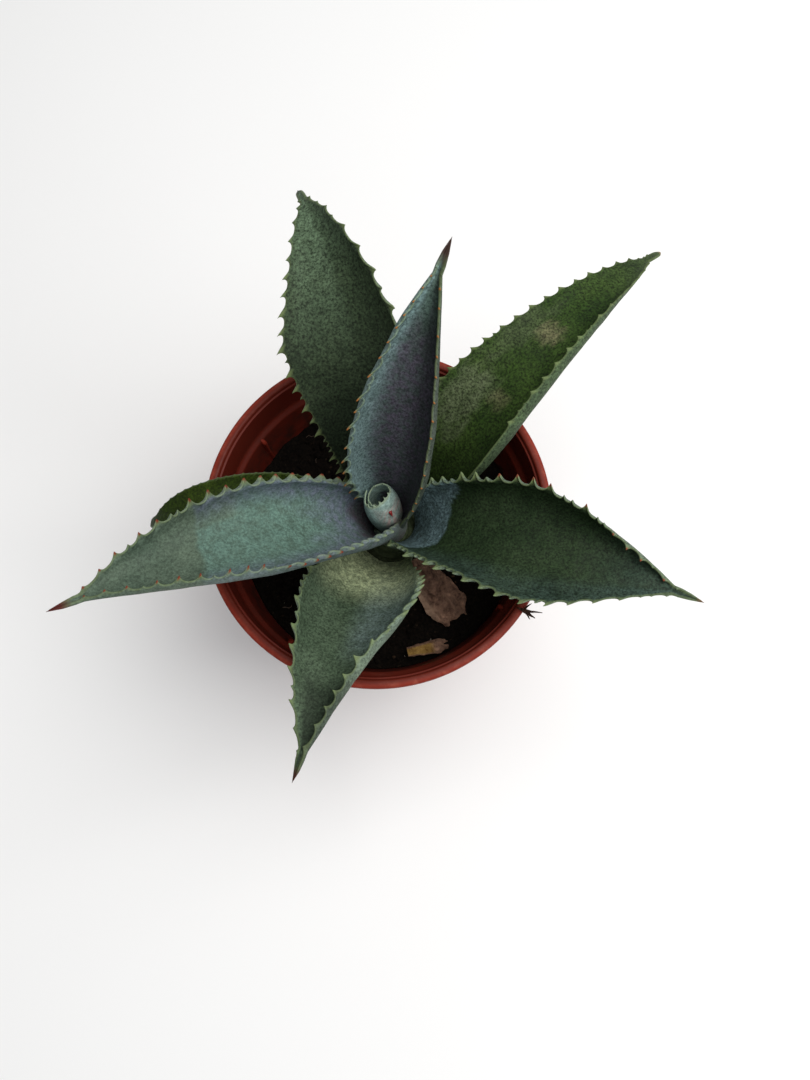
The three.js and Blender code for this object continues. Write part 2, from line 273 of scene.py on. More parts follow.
def remap(tree, value, low, high, to_low=0.0, to_high=1.0):
    """value brought from low..high to to_low..to_high, and clamped there."""
    numbers = {"From Min": low, "From Max": high, "To Min": to_low, "To Max": to_high}
    return add_node(tree, "ShaderNodeMapRange", Value=value, **numbers).outputs["Result"]


def times(tree, first, second, operation="MULTIPLY"):
    """first and second joined by a math operation and clamped; either may be a plain number."""
    node = add_node(tree, "ShaderNodeMath", operation=operation, use_clamp=True)
    for socket, value in zip(node.inputs, (first, second)):
        if isinstance(value, (int, float)):
            socket.default_value = value
        else:
            tree.links.new(value, socket)
    return node.outputs[0]


def blend_colour(tree, mask, under, over):
    """under where the mask is 0 and over where it is 1; each is a colour or a colour socket."""
    node = add_node(tree, "ShaderNodeMix", data_type="RGBA")
    tree.links.new(mask, node.inputs["Factor"])
    for socket, colour in ((node.inputs[6], under), (node.inputs[7], over)):
        if isinstance(colour, tuple):
            socket.default_value = (*colour, 1)
        else:
            tree.links.new(colour, socket)
    return node.outputs[2]


def attribute(tree, name):
    """The value that the mesh carries under that name."""
    return add_node(tree, "ShaderNodeAttribute", attribute_name=name).outputs["Fac"]


def bump(tree, shader, height, distance, strength=1.0):
    """The height, in units of distance metres, raised on the shader's surface."""
    node = add_node(tree, "ShaderNodeBump", Distance=distance, Strength=strength, Height=height)
    tree.links.new(node.outputs["Normal"], shader.inputs["Normal"])


def pot_wall(height):
    """Radius of the outside of the tapering wall at a height."""
    return POT_FOOT_RADIUS + WALL_SLOPE * height


pot_tall = rim_height / MM
rim = pot_high[0] / MM
ledge = pot_tall - COLLAR_HEIGHT
lip = rim - COLLAR_RADIUS
pot_outline = rounded_line([
    (0, 0, 0), (pot_wall(0), 0, 1.2), (pot_wall(ledge - 2), ledge - 2, 0.6),
    (COLLAR_RADIUS - 1, ledge - 1.4, 0.8), (COLLAR_RADIUS, pot_tall - 3.8, 0.4),
    (rim, pot_tall - 3.5, 0.5), (rim, pot_tall, 1.2), (rim - 3.3, pot_tall, 0.9),
    (rim - 3.7, pot_tall - 1.7, 0.3), (rim - 4.5, pot_tall - 1.8, 0.3),
    (COLLAR_RADIUS - lip, ledge + 1.2, 1.2), (pot_wall(ledge) - WALL, ledge - 0.4, 0.6),
    (pot_wall(WALL) - WALL, WALL + 0.4, 1.5), (0, WALL + 0.4, 0)])
pot_points, pot_quads = turned(pot_outline, POT_TURN_STEPS)


def stacking_rib(heading):
    """A wedge on the inner wall: an octagon about the wall, swept down as its depth runs out."""
    drop = np.linspace(0, 1, 12)[:, None]
    corner = np.radians(22.5 + 45 * np.arange(8))[None]
    depth = RIB_DEPTH * (1 - drop) ** 0.6 * smooth01(drop * 12 + 0.2)
    height = ledge + 0.6 - RIB_LENGTH * drop
    radius = pot_wall(height) - WALL + 0.3 - 0.5 * depth * (1 + np.cos(corner)) * 0.95
    aside = 0.5 * RIB_WIDTH * np.sin(corner) * (depth / RIB_DEPTH + 0.25)
    x = radius * np.cos(np.radians(heading)) - aside * np.sin(np.radians(heading))
    y = radius * np.sin(np.radians(heading)) + aside * np.cos(np.radians(heading))
    tube = np.stack([x, y, height + 0 * x], -1)
    ends = tube[[0, -1]].mean(1, keepdims=True) + 0 * tube[[0, -1]]
    tube = np.concatenate([ends[:1], tube, ends[1:]])
    return tube, grid_faces(len(tube), 8, wrap_columns=True)


pot_plastic, tree, shader = new_material("terracotta_plastic")
place = add_node(tree, "ShaderNodeSeparateXYZ")
tree.links.new(add_node(tree, "ShaderNodeTexCoord").outputs["Object"], place.inputs[0])
height_up = place.outputs["Z"]
clouds = mottle(tree, 30.0, 0.35, 0.7, detail=5)
colour = blend_colour(tree, clouds, (0.172, 0.018, 0.0085), (0.235, 0.028, 0.0145))
colour = blend_colour(tree, times(tree, mottle(tree, 700.0, 0.45, 0.7), 0.25), colour, (0.12, 0.022, 0.013))
# Pale scuffs on the top of the lip: wear, and also a painted highlight there.
on_lip = remap(tree, height_up, (pot_tall - 1.5) * MM, (pot_tall - 0.2) * MM)
scuffs_and_highlight = times(tree, mottle(tree, 260.0, 0.5, 0.68, detail=6, roughness=0.75), on_lip)
colour = blend_colour(tree, times(tree, scuffs_and_highlight, 0.32), colour, (0.37, 0.11, 0.07))
scratches = mottle(tree, 90.0, 0.6, 0.68, stretch=(1, 1, 9))
colour = blend_colour(tree, times(tree, scratches, 0.15), colour, (0.36, 0.12, 0.08))
# Painted shade: the whole inner wall is darkened towards deep brown.
colour = blend_colour(tree, times(tree, attribute(tree, "inside"), 0.55), colour, (0.045, 0.008, 0.005))
low_inside = times(tree, attribute(tree, "inside"), remap(tree, height_up, 0.110, 0.09))
splashes = times(tree, mottle(tree, 120.0, 0.42, 0.6, detail=6, roughness=0.7), low_inside)
colour = blend_colour(tree, times(tree, splashes, 0.85), colour, (0.02, 0.011, 0.008))
tree.links.new(colour, shader.inputs["Base Color"])
tree.links.new(remap(tree, clouds, 0, 1, 0.42, 0.58), shader.inputs["Roughness"])
shader.inputs["Specular IOR Level"].default_value = 0.14
bump(tree, shader, mottle(tree, 1400.0, 0.2, 0.8, detail=3), 0.00006, 0.5)

outline_inside = np.arange(len(pot_outline)) > np.argmax(pot_outline[:, 1])
inside = np.repeat(outline_inside, POT_TURN_STEPS)
nursery_pot = make_piece("nursery_pot", pot_points, pot_quads, "pot_plastic", pot_plastic, ["pot"],
                         {"inside": inside})
apply_boolean(nursery_pot, [stacking_rib(heading) for heading in RIB_HEADINGS], "UNION")
plug, plug_quads = turned(np.array([(0, -2), (DRAIN_HOLE_RADIUS, -2), (DRAIN_HOLE_RADIUS, 2), (0, 2)]), 40)
hole_turns = np.arange(DRAIN_HOLES) * 2 * np.pi / DRAIN_HOLES
hole_places = DRAIN_RING_RADIUS * np.stack([np.cos(hole_turns), np.sin(hole_turns), 0 * hole_turns], -1)
apply_boolean(nursery_pot, [(plug + offset, plug_quads) for offset in hole_places], "DIFFERENCE")

# ---- Potting soil --------------------------------------------------------------------------
# Dark damp peat compost, filled to a finger's depth below the lip. Its surface is crumbly, with
# lumps of peat, shreds of bark, pale roots and a few grains of perlite, heaped at the stem.
SOIL_RINGS = 150
SOIL_TURN_STEPS = 420
STEM_PLACE = (5.0, -3.0)
ROOT_COUNT = 22
soil_high = np.array(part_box("potting_soil")[1]) / MM
soil_edge_height = soil_high[2] - 2.0
soil_reach = pot_wall(soil_edge_height) - WALL - 0.35


def lattice_noise(u, v, seed):
    """Value noise from -1 to 1: random values on the whole numbers, blended smoothly between."""
    table = np.random.default_rng(seed).uniform(-1, 1, (257, 257))
    iu, iv = np.floor(u).astype(int), np.floor(v).astype(int)
    fu, fv = smooth01(u - iu), smooth01(v - iv)
    near, far = table[iu % 257, iv % 257], table[(iu + 1) % 257, iv % 257]
    near_up, far_up = table[iu % 257, (iv + 1) % 257], table[(iu + 1) % 257, (iv + 1) % 257]
    return (near * (1 - fu) + far * fu) * (1 - fv) + (near_up * (1 - fu) + far_up * fu) * fv


def soil_height(x, y):
    """Level of the soil: a slight dome, sunk at the wall, with lumps of three sizes added."""
    out = np.hypot(x, y) / soil_reach
    level = soil_edge_height + 1.6 * (1 - out ** 2)
    lumps = 1.1 * lattice_noise(x / 9, y / 9, 1) + 0.7 * lattice_noise(x / 3.1, y / 3.1, 2)
    return level - 1.1 + lumps + 0.38 * lattice_noise(x / 1.1 + 60, y / 1.1 + 60, 3)


soil_radius = soil_reach * np.linspace(0, 1, SOIL_RINGS)[:, None]
soil_turn = np.arange(SOIL_TURN_STEPS) * 2 * np.pi / SOIL_TURN_STEPS
soil_x, soil_y = soil_radius * np.cos(soil_turn), soil_radius * np.sin(soil_turn)
soil_top = np.stack([soil_x, soil_y, soil_height(soil_x, soil_y)], -1)
side_outline = np.array([(soil_reach - 0.1, soil_edge_height - 4), (pot_wall(3) - WALL - 0.8, 3), (0, 2.1)])
soil_side, _ = turned(side_outline, SOIL_TURN_STEPS)
soil_points = np.concatenate([soil_top, soil_side])

peat, tree, shader = new_material("peat_compost")
fibres = mottle(tree, 900.0, 0.4, 0.7, detail=6, roughness=0.75)
colour = blend_colour(tree, fibres, (0.0022, 0.0018, 0.0014), (0.012, 0.008, 0.0055))
colour = blend_colour(tree, mottle(tree, 420.0, 0.66, 0.74, detail=2), colour, (0.035, 0.023, 0.015))
tree.links.new(colour, shader.inputs["Base Color"])
tree.links.new(remap(tree, mottle(tree, 60.0, 0.4, 0.65), 0, 1, 0.95, 0.75), shader.inputs["Roughness"])
shader.inputs["Specular IOR Level"].default_value = 0.08
bump(tree, shader, fibres, 0.0004, 0.8)
make_piece("compost", soil_points, grid_faces(len(soil_points), SOIL_TURN_STEPS, wrap_columns=True),
           "soil", peat, ["potting_soil"])


def scattered_grains(count, size_low, size_high, seed, inner=20.0, flat=0.8):
    """Faceted grains on the soil: cubes pushed towards a sphere, each stretched, turned and placed."""
    dice = np.random.default_rng(seed)
    cube = np.array([(sx, sy, sz) for sx in (-1, 0, 1) for sy in (-1, 0, 1) for sz in (-1, 0, 1)], float)
    cube = cube[np.abs(cube).max(1) == 1]
    ball = cube / np.linalg.norm(cube, axis=1, keepdims=True)
    hull = bmesh.new()
    corners = [hull.verts.new(point) for point in ball]
    bmesh.ops.convex_hull(hull, input=corners)
    hull.verts.index_update()
    triangles = np.array([[v.index for v in face.verts] for face in hull.faces])
    shell = np.array([v.co[:] for v in hull.verts])
    hull.free()
    radius = np.sqrt(dice.uniform(inner ** 2, (soil_reach - 3) ** 2, count))
    heading = dice.uniform(0, 2 * np.pi, count)
    size = size_low * (size_high / size_low) ** dice.uniform(0, 1, count) ** 1.6
    stretch = dice.uniform(0.6, 1.3, (count, 1, 3)) * (1, 1, flat)
    bumps = dice.uniform(0.75, 1.15, (count, len(shell), 1))
    local = shell[None] * bumps * stretch * size[:, None, None]
    spin = dice.uniform(0, 2 * np.pi, count)[:, None]
    x = local[..., 0] * np.cos(spin) - local[..., 1] * np.sin(spin) + (radius * np.cos(heading))[:, None]
    y = local[..., 0] * np.sin(spin) + local[..., 1] * np.cos(spin) + (radius * np.sin(heading))[:, None]
    z = local[..., 2] + soil_height(radius * np.cos(heading), radius * np.sin(heading))[:, None]
    z = z + 0.25 * size[:, None]
    faces = triangles[None] + (np.arange(count) * len(shell))[:, None, None]
    return np.stack([x, y, z], -1).reshape(-1, 3), faces.reshape(-1, 3)


make_piece("peat_crumbs", *scattered_grains(650, 0.5, 1.9, 11), "soil", peat)

bark, tree, shader = new_material("bark_shred")
colour = blend_colour(tree, mottle(tree, 500.0, 0.35, 0.65), (0.012, 0.007, 0.004), (0.055, 0.032, 0.018))
tree.links.new(colour, shader.inputs["Base Color"])
shader.inputs["Roughness"].default_value = 0.9
shader.inputs["Specular IOR Level"].default_value = 0.1
make_piece("bark_shreds", *scattered_grains(46, 0.6, 1.5, 12, flat=0.35), "soil", bark)

perlite, tree, shader = new_material("perlite")
colour = blend_colour(tree, mottle(tree, 800.0, 0.3, 0.7), (0.09, 0.075, 0.058), (0.26, 0.23, 0.19))
tree.links.new(colour, shader.inputs["Base Color"])
shader.inputs["Roughness"].default_value = 0.9
make_piece("perlite_grains", *scattered_grains(16, 0.3, 0.7, 13, inner=24.0), "soil", perlite)


def round_thread(path, radius, sides=6):
    """A circle of varying radius carried along a path, square to it, and drawn shut at both ends."""
    path, radius = np.asarray(path, float), np.broadcast_to(radius, len(path)).copy()
    radius[[0, -1]] = 0
    ahead = np.gradient(path, axis=0)
    aside = np.cross(ahead, (0.31, 0.17, 0.93))
    aside /= np.linalg.norm(aside, axis=1, keepdims=True)
    above = np.cross(aside, ahead)
    above /= np.linalg.norm(above, axis=1, keepdims=True)
    turn = (np.arange(sides) * 2 * np.pi / sides)[None, :, None]
    ring = aside[:, None] * np.cos(turn) + above[:, None] * np.sin(turn)
    return path[:, None] + ring * radius[:, None, None], grid_faces(len(path), sides, wrap_columns=True)


def fine_root(dice):
    """A thread that wanders over the soil: its heading turns evenly, and it dips in at both ends."""
    share = np.linspace(0, 1, 18)
    out, place_turn = np.sqrt(dice.uniform(0.16, 0.84)) * soil_reach, dice.uniform(0, 2 * np.pi)
    heading = dice.uniform(0, 2 * np.pi) + dice.uniform(-2.5, 2.5) * share + 0.5 * np.sin(9 * share)
    step = dice.uniform(3, 8) / len(share)
    x = out * np.cos(place_turn) + np.cumsum(step * np.cos(heading))
    y = out * np.sin(place_turn) + np.cumsum(step * np.sin(heading))
    z = soil_height(x, y) + 0.35 - 0.9 * np.abs(2 * share - 1) ** 4
    return round_thread(np.stack([x, y, z], 1), dice.uniform(0.09, 0.17))


root_skin, tree, shader = new_material("root_skin")
colour = blend_colour(tree, mottle(tree, 600.0, 0.35, 0.65), (0.05, 0.03, 0.02), (0.17, 0.12, 0.085))
tree.links.new(colour, shader.inputs["Base Color"])
shader.inputs["Roughness"].default_value = 0.85
root_dice = np.random.default_rng(21)
make_piece("fine_roots", *joined([fine_root(root_dice) for _ in range(ROOT_COUNT)]), "soil", root_skin)

# ---- Stem ----------------------------------------------------------------------------------
# The short fleshy stem that the leaves grow from, green between their bases and corky below,
# where rings of dry scar are left by lower leaves that have dropped.
stem_low, stem_high = (np.array(corner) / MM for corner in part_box("stem"))
LEAF_COUNT = 7
FIRST_BASE_RADIUS = 6.0
BASE_RADIUS_STEP = 2.0
FIRST_BASE_HEIGHT = 104.5
BASE_HEIGHT_STEP = 2.5

stem_z = np.linspace(stem_low[2], stem_high[2], 90)
cone = FIRST_BASE_RADIUS - 2.4 + BASE_RADIUS_STEP * (FIRST_BASE_HEIGHT - stem_z) / BASE_HEIGHT_STEP
foot_radius = cone[np.searchsorted(stem_z, FIRST_BASE_HEIGHT - BASE_HEIGHT_STEP * (LEAF_COUNT - 1))]
stem_radius = np.minimum(cone, foot_radius) * smooth01((stem_high[2] - stem_z) / 1.2) ** 0.5
stem_radius = stem_radius + 0.25 * np.sin(stem_z * 2 * np.pi / BASE_HEIGHT_STEP) * (stem_radius > 2)
stem_radius[0] = 0
stem_points, stem_quads = turned(np.stack([stem_radius, stem_z], 1), 96)
stem_points = stem_points + (*STEM_PLACE, 0)

stem_skin, tree, shader = new_material("stem_skin")
place = add_node(tree, "ShaderNodeSeparateXYZ")
tree.links.new(add_node(tree, "ShaderNodeTexCoord").outputs["Object"], place.inputs[0])
scars = mottle(tree, 90.0, 0.4, 0.62, detail=5, stretch=(1, 1, 9))
cork = blend_colour(tree, scars, (0.11, 0.085, 0.05), (0.035, 0.02, 0.012))
flesh = blend_colour(tree, mottle(tree, 500.0, 0.35, 0.65), (0.022, 0.032, 0.014), (0.05, 0.065, 0.03))
colour = blend_colour(tree, remap(tree, place.outputs["Z"], 0.0895, 0.0925), cork, flesh)
tree.links.new(colour, shader.inputs["Base Color"])
shader.inputs["Roughness"].default_value = 0.75
shader.inputs["Specular IOR Level"].default_value = 0.15
bump(tree, shader, scars, 0.0005, 0.7)
make_piece("stem_core", stem_points, stem_quads, "stem_skin", stem_skin, ["stem"])

# ---- Leaves --------------------------------------------------------------------------------
# Seven thick, fleshy, channelled leaves. Each is a blade curled up along both sides of its
# midrib, with a horny pale margin cut into hooked teeth and a spine or a blunt cap at its tip.
# The younger ones carry a blue waxy bloom and plum mottling; the older ones are dusty green,
# with pale prints where a neighbour was pressed against them in the bud.
# Some leaves carry painted shade at their bases, sides or tips, and the front leaf painted light at its
# base.
FIRST_BASE_RISE = 79.0
BASE_RISE_STEP = 5.0
BASE_THICKNESS = 3.0
TIP_THICKNESS = 1.6
MARGIN_THICKNESS = 0.5
BLADE_END = 0.93
SPINE_WIDTH = 3.5
MIDRIB_STEPS = 400
CURL_STEPS = 24
TIP_ROWS = 26
SMALL_TOOTH_SHARE = 0.27
SMALL_TOOTH = 0.42
TOOTH_SHARPNESS = 3.0
TOOTH_PHASES = np.array([0, 0.12, 0.24, 0.34, 0.41, 0.46, 0.485, 0.5, 0.515, 0.54, 0.59, 0.66, 0.76, 0.88])
HALF_COLUMNS = np.concatenate([np.linspace(0, 0.88, 12), [0.92, 0.95, 0.972, 0.988, 1.0]])


def bend3(s, base, middle, tip):
    """The parabola through the values at the base, half way and at the tip."""
    return base * (1 - s) * (1 - 2 * s) + 4 * middle * s * (1 - s) + tip * s * (2 * s - 1)


def leaf_frame(leaf):
    """Along the leaf: its midrib, the directions along, aside and up, and its half width.

    The direction's slope follows a parabola and its heading turns evenly; the midrib is the sum
    of small steps in that direction. Aside and up are then rolled about it.
    """
    s = np.linspace(0, 1, MIDRIB_STEPS)
    order = leaf["order"]
    rise = np.radians(bend3(s, FIRST_BASE_RISE - BASE_RISE_STEP * order, *leaf["rise"]))
    heading = np.radians(leaf["heading"] + leaf["sweep"] * s)
    along = np.stack([np.cos(rise) * np.cos(heading), np.cos(rise) * np.sin(heading), np.sin(rise)], 1)
    base_radius = FIRST_BASE_RADIUS + BASE_RADIUS_STEP * order
    base = np.array([STEM_PLACE[0] + base_radius * np.cos(heading[0]),
                     STEM_PLACE[1] + base_radius * np.sin(heading[0]),
                     FIRST_BASE_HEIGHT - BASE_HEIGHT_STEP * order])
    steps = (along[1:] + along[:-1]) / 2 * leaf["length"] / (MIDRIB_STEPS - 1)
    midrib = base + np.concatenate([np.zeros((1, 3)), np.cumsum(steps, 0)])
    level = np.stack([-np.sin(heading), np.cos(heading), 0 * heading], 1)
    roll = np.radians(leaf["roll"][0] + (leaf["roll"][1] - leaf["roll"][0]) * s)[:, None]
    upright = np.cross(along, level)
    aside = level * np.cos(roll) + upright * np.sin(roll)
    up = upright * np.cos(roll) - level * np.sin(roll)
    widest = leaf["widest"]
    past = np.clip((s - widest) / (BLADE_END - widest), 0, 1)
    blade = np.where(s < widest, leaf["neck"] + (1 - leaf["neck"]) * smooth01(s / widest),
                     1 - past ** leaf["taper"])
    tip_share = np.clip((s - BLADE_END) / (1 - BLADE_END), 0, 1)
    pointed = SPINE_WIDTH * (1 - tip_share) + 0.5 * (1 - s)
    blunt = leaf["blunt"] * np.sqrt(1 - tip_share ** 2)
    end = blunt if leaf["blunt"] else pointed
    half_width = np.maximum(np.maximum(blade * leaf["width"], end), 0.12) / 2
    return s, midrib, along, aside, up, half_width, base_radius


def tooth_rows(leaf, side):
    """Row positions along one margin, the tooth height in millimetres at each, and its dark tips.

    The margin is shared out into gaps of uneven length with a tooth in each; thinning is how much
    they widen towards the tip. Rows crowd towards the tooth's point, and its height falls off as
    a cube on both sides, so the margin hangs in a curve from tooth to tooth.
    """
    dice = np.random.default_rng(leaf["seed"] + 50 * side)
    count = leaf["teeth"]
    small = dice.uniform(0, 1, count) < SMALL_TOOTH_SHARE
    gaps = np.where(small, 0.45, 1.0) * dice.uniform(0.8, 1.2, count)
    share = np.concatenate([[0], np.cumsum(gaps)]) / gaps.sum()
    edges = BLADE_END * ((1 - leaf["thinning"]) * share + leaf["thinning"] * share ** 2)
    middles = (edges[:-1] + edges[1:]) / 2
    phase = TOOTH_PHASES[None]
    first = edges[:-1, None] + (middles - edges[:-1])[:, None] * phase * 2
    second = middles[:, None] + (edges[1:] - middles)[:, None] * (phase * 2 - 1)
    s = np.where(phase < 0.5, first, second)
    cusp = (1 - np.abs(phase * 2 - 1)) ** TOOTH_SHARPNESS
    size = np.where(small, SMALL_TOOTH, 1.0) * dice.uniform(0.8, 1.12, count)
    fade = smooth01((middles - leaf["bare"][side]) / 0.05) * (1 - 0.5 * smooth01((middles - 0.6) / 0.33))
    heights = cusp * (size * fade * leaf["tooth_height"][side])[:, None]
    dark = cusp * (~small & (middles > leaf["tipped"][side]))[:, None]
    return s.ravel(), heights.ravel(), dark.ravel()


def leaf_surface(leaf, s, t):
    """Points of the leaf's middle surface, how far it is turned up there, and the frame and width.

    s runs from 0 at the base to 1 at the tip and t from -1 at the right margin to 1 at the left.
    From the midrib out, the surface turns up by an angle that grows with t to a power, so a point
    is the midrib plus the summed cosines of that turn aside and its summed sines up. left_cut is
    the share of the left half that is missing at the base.
    """
    stations, midrib, along, aside, up, half_width, base_radius = leaf_frame(leaf)

    def at(values):
        values = values.reshape(MIDRIB_STEPS, -1)
        found = [np.interp(s.ravel(), stations, column).reshape(s.shape) for column in values.T]
        return found[0] if len(found) == 1 else np.stack(found, -1)

    base_fold = np.degrees(leaf["neck"] * leaf["width"] / 2 / base_radius)
    kept = 1 - leaf["left_cut"] * (1 - smooth01(s / 0.32)) * (t > 0)
    left = bend3(s, base_fold, *leaf["fold_left"])
    right = bend3(s, base_fold, *leaf["fold_right"])
    fold = np.radians(np.where(t > 0, left, right)) * kept
    curl = 1 + 0.6 * smooth01(s / 0.25)
    share = (np.arange(CURL_STEPS) + 0.5) / CURL_STEPS
    turns = fold[..., None] * (np.abs(t)[..., None] * share) ** curl[..., None]
    reach = at(half_width) * np.abs(t) * kept
    out = (np.cos(turns).mean(-1) * reach * np.sign(t))[..., None]
    rise = (np.sin(turns).mean(-1) * reach)[..., None]
    middle = at(midrib) + at(aside) * out + at(up) * rise
    return middle, fold * np.abs(t) ** curl, at(along), at(aside), at(up), at(half_width)


def sheet_normal(sheet):
    """Unit normals of a grid of points: the cross product of its two differences."""
    normal = np.cross(np.gradient(sheet, axis=1), np.gradient(sheet, axis=0))
    return normal / (np.linalg.norm(normal, axis=-1, keepdims=True) + 1e-12)


def thick_sheet(sheet, thickness, normal):
    """A closed shell: the sheet moved half its thickness both ways along its normals, and joined round."""
    rows, columns = sheet.shape[:2]
    offset = normal * (thickness / 2)[..., None]
    ring = np.concatenate([sheet + offset, (sheet - offset)[:, ::-1]], 1)
    quads = grid_faces(rows, 2 * columns, wrap_columns=True)
    cap = np.arange(columns - 1)
    for row, flip in ((0, 1), (rows - 1, -1)):
        start = row * 2 * columns
        opposite = start + 2 * columns - 1 - cap
        lid = np.stack([start + cap, start + cap + 1, opposite - 1, opposite], -1)
        quads = np.concatenate([quads, lid[:, ::flip]])
    return ring, quads


def both_faces(upper, lower=None):
    """A value on the upper face of a thick sheet, and the same or another on its lower face."""
    lower = upper if lower is None else lower
    return np.concatenate([upper, lower[:, ::-1]], 1)


def leaf_piece(leaf, material):
    """The closed leaf. Rows follow each margin's own teeth and even out towards the midrib.

    The margin is pushed out by the tooth height at the side's own tooth turn, and back towards
    the base, which hooks the teeth. The thickness follows a half ellipse across, and
    thins to nothing at the teeth's points.
    """
    left_s, left_teeth, left_dark = tooth_rows(leaf, 0)
    right_s, right_teeth, right_dark = tooth_rows(leaf, 1)
    even_s = np.arange(len(left_s)) / len(left_s) * BLADE_END
    tip_s = BLADE_END + (1 - BLADE_END) * np.sin(np.linspace(0, np.pi / 2, TIP_ROWS))
    left_s, right_s, even_s = (np.concatenate([part, tip_s]) for part in (left_s, right_s, even_s))
    columns = np.concatenate([HALF_COLUMNS[::-1], -HALF_COLUMNS[1:]])[None]
    on_left = columns > 0

    def per_side(left, right):
        left, right = (np.pad(values, (0, TIP_ROWS))[:, None] for values in (left, right))
        return np.where(on_left, left, right)

    margin_s = np.where(on_left, left_s[:, None], right_s[:, None])
    s = even_s[:, None] + (margin_s - even_s[:, None]) * columns ** 2
    t = np.broadcast_to(columns, s.shape)
    middle, turned_up, along, aside, up, half_width = leaf_surface(leaf, s, t)
    normal = sheet_normal(middle)
    push = smooth01((np.abs(t) - 0.88) / 0.12) ** 1.5
    height = per_side(left_teeth, right_teeth) * push
    later = smooth01((s - leaf["turn_at"]) / 0.12)
    low_turn, high_turn = (np.where(on_left, left, right) for left, right in zip(*leaf["tooth_turn"]))
    tilt = np.minimum(1.3 * turned_up + 0.2, np.radians(low_turn + (high_turn - low_turn) * later))
    outward = aside * (np.cos(tilt) * np.sign(t))[..., None] + up * np.sin(tilt)[..., None]
    hook = np.where(on_left, *leaf["hook"]) * height ** 2 / max(leaf["tooth_height"])
    middle = middle + outward * height[..., None] - along * hook[..., None]
    ripple = lattice_noise(s * leaf["length"] / 11 + leaf["seed"], t * 2.2 + 40, leaf["seed"])
    dimple = lattice_noise(s * leaf["length"] / 3.5 + 9, t * 8 + 60, leaf["seed"] + 1)
    waver = (0.35 * ripple + 0.07 * dimple) * np.minimum(1, half_width / 10)
    middle = middle + normal * waver[..., None]
    full = BASE_THICKNESS + (TIP_THICKNESS - BASE_THICKNESS) * s
    full = np.minimum(full, 1.7 * half_width)
    tall = max(leaf["tooth_height"])
    edge = np.minimum(MARGIN_THICKNESS, full) * (1 - 0.7 * np.clip(height / tall, 0, 1))
    thickness = edge + (full - edge) * np.sqrt(1 - t ** 2)
    shell = thick_sheet(middle, thickness, normal)
    rim_line = np.clip(1 - (1 - np.abs(t)) * half_width / 0.9, 0, 1)
    horny = np.maximum(0.6 * rim_line, 0.9 * smooth01(1.5 * height / tall))
    marks = {"along_leaf": both_faces(s), "across_leaf": both_faces(t), "margin": both_faces(horny),
             "tooth": both_faces(per_side(left_dark, right_dark) * push),
             "under": both_faces(0 * s, np.where(on_left, *leaf["under"]) + 0 * s)}
    marks.update({key: both_faces(pattern) for key, pattern in leaf["marks"](s, t).items()})
    slot = "young_leaf" if leaf["order"] < 2 else "grown_leaf"
    return make_piece(leaf["name"], *shell, slot, material, [leaf["node"]], marks)


UNDERSIDE = (0.125, 0.165, 0.12)
leaf_skin, given, made = new_group(
    "leaf_skin",
    dict(Deep=(0.03, 0.05, 0.03, 1), Light=(0.06, 0.09, 0.05, 1), Bloom=(0.1, 0.15, 0.12, 1),
         Plum=(0.04, 0.035, 0.05, 1), Flush=(0.04, 0.02, 0.02, 1), ScarAndPaintedLight=(0.12, 0.11, 0.06, 1),
         Margin=(0.17, 0.22, 0.085, 1), Tooth=(0.4, 0.1, 0.03, 1), Horn=(0.08, 0.03, 0.02, 1),
         HornFrom=0.95, HornFull=0.97, Speckle=1.0),
    dict(Colour=4, Roughness=1, Relief=1))
clouds = mottle(leaf_skin, 55.0, 0.36, 0.66)
blotches = mottle(leaf_skin, 330.0, 0.34, 0.6, roughness=0.65)
grains = use_group(leaf_skin, mottling, Scale=1050.0, Detail=3.0, Roughness=0.75)["Noise"]
flat_place = add_node(leaf_skin, "ShaderNodeCombineXYZ", X=attribute(leaf_skin, "across_leaf"),
                      Y=attribute(leaf_skin, "along_leaf"))
drawn_out = add_node(leaf_skin, "ShaderNodeMapping", Vector=flat_place.outputs[0], Scale=(30, 7, 1))
fibre = add_node(leaf_skin, "ShaderNodeTexNoise", Vector=drawn_out.outputs[0], Scale=1.0, Detail=4.0)
colour = blend_colour(leaf_skin, clouds, given["Deep"], given["Light"])
streaks = remap(leaf_skin, fibre.outputs["Fac"], 0.48, 0.72)
colour = blend_colour(leaf_skin, times(leaf_skin, streaks, 0.3), colour, given["Light"])
for key, least in (("bloom", 0.6), ("plum", 0.25), ("flush", 0.3)):
    mask = times(leaf_skin, attribute(leaf_skin, key), remap(leaf_skin, blotches, 0, 1, least, 1))
    colour = blend_colour(leaf_skin, mask, colour, given[key.capitalize()])
# The scar mark carries pale scars, and on the front leaf an olive lifted by painted light at its base.
scar_and_painted_light_mask = times(leaf_skin, attribute(leaf_skin, "scar"), remap(leaf_skin, blotches, 0, 1, 0.5, 1))
colour = blend_colour(leaf_skin, times(leaf_skin, scar_and_painted_light_mask, 0.75), colour, given["ScarAndPaintedLight"])
colour = blend_colour(leaf_skin, times(leaf_skin, attribute(leaf_skin, "under"), 0.75), colour, UNDERSIDE)
coarse = remap(leaf_skin, blotches, 0, 1, 0.86, 1.1)
grainy = add_node(leaf_skin, "ShaderNodeMath", operation="MULTIPLY_ADD")
leaf_skin.links.new(remap(leaf_skin, grains, 0.36, 0.64, -0.5, 0.5), grainy.inputs[0])
leaf_skin.links.new(given["Speckle"], grainy.inputs[1])
grainy.inputs[2].default_value = 1.0
